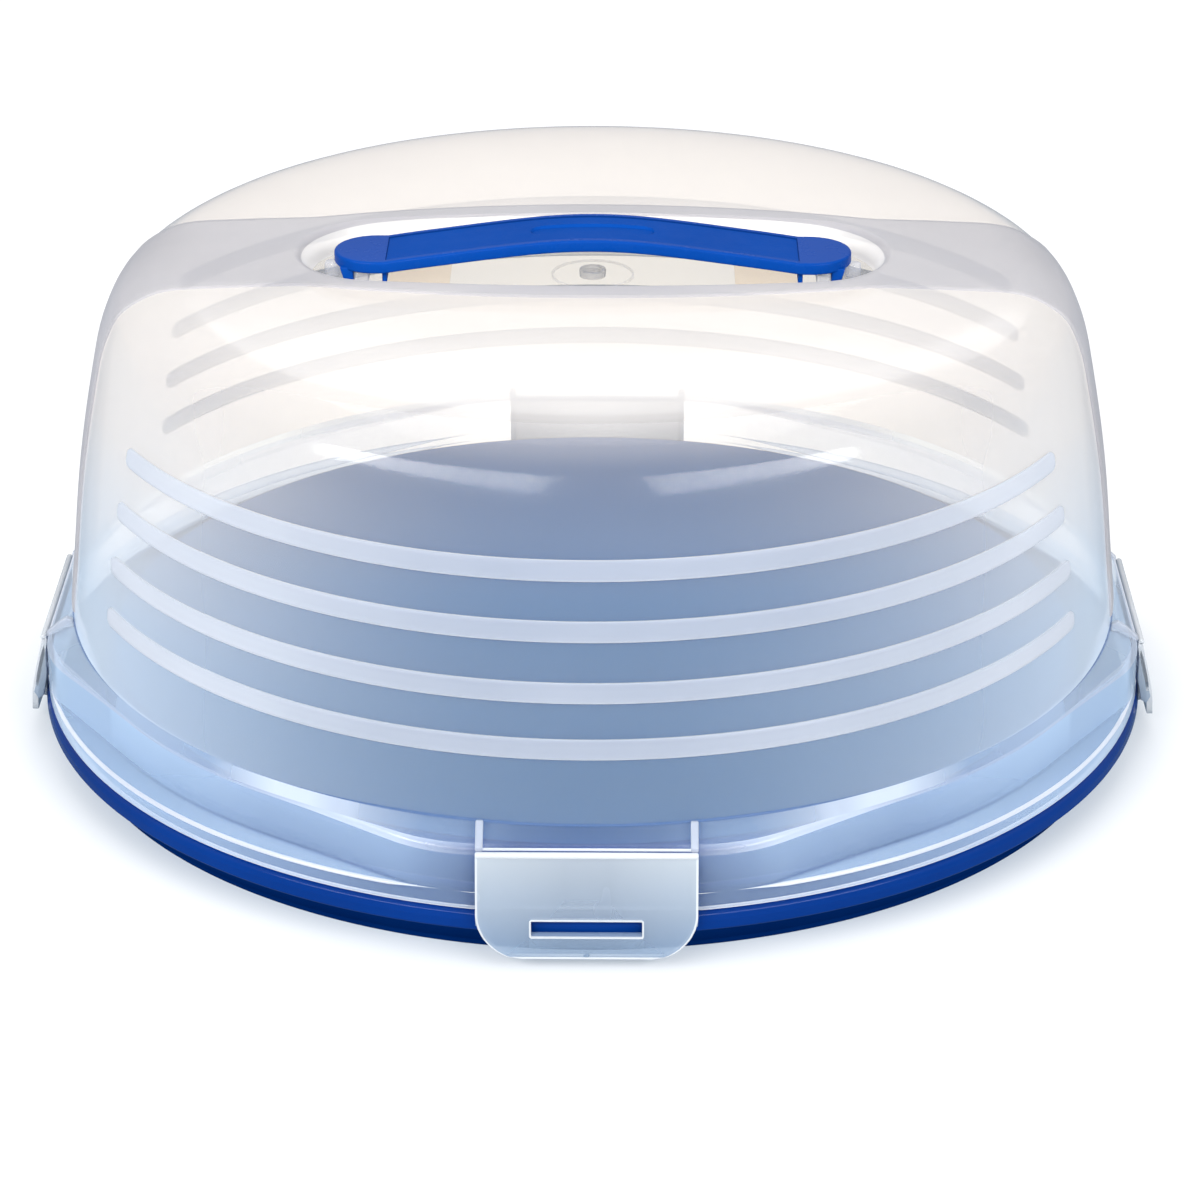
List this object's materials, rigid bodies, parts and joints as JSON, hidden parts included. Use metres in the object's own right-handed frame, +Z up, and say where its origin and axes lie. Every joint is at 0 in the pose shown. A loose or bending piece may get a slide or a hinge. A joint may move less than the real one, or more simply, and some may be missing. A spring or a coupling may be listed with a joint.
{
  "type": "cake carrier",
  "caption": "Round cake carrier: flat serving tray, clear domed lid with a recessed strap handle on top and hinged locking flaps round its rim.",
  "frame": {"origin": "centre of the tray's foot ring, on the surface the carrier stands on", "axes": "+Z up; the strap handle runs along X; the four flaps face -Y (front), +Y, -X and +X"},
  "size_m": [0.347, 0.347, 0.1549],
  "materials": {
    "tray": "glossy cobalt blue polypropylene",
    "lid": "clear, slightly milky polypropylene with satin bands",
    "handle": "blue polypropylene, fine matt grain on top, smooth edges",
    "clip": "translucent milky white polypropylene"
  },
  "bodies": {
    "base": {"base_tray": "tray"},
    "lid": {"lid_shell": "lid", "carry_handle": "handle"},
    "flap_front": {"clip_front": "clip"},
    "flap_back": {"clip_back": "clip"},
    "flap_left": {"clip_left": "clip"},
    "flap_right": {"clip_right": "clip"}
  },
  "joints": [
    {"name": "lid_lift", "type": "slide", "parent": "base", "child": "lid", "axis": [0, 0, 1], "range_m": [0, 0.2]},
    {"name": "front_flap_hinge", "type": "hinge", "parent": "lid", "child": "flap_front", "pos_m": [0, -0.1672, 0.0328], "axis": [-1, 0, 0], "range_deg": [0, 110]},
    {"name": "back_flap_hinge", "type": "hinge", "parent": "lid", "child": "flap_back", "pos_m": [0, 0.1672, 0.0328], "axis": [1, 0, 0], "range_deg": [0, 110]},
    {"name": "right_flap_hinge", "type": "hinge", "parent": "lid", "child": "flap_right", "pos_m": [0.1672, 0, 0.0328], "axis": [0, -1, 0], "range_deg": [0, 110]},
    {"name": "left_flap_hinge", "type": "hinge", "parent": "lid", "child": "flap_left", "pos_m": [-0.1672, 0, 0.0328], "axis": [0, 1, 0], "range_deg": [0, 110]}
  ]
}
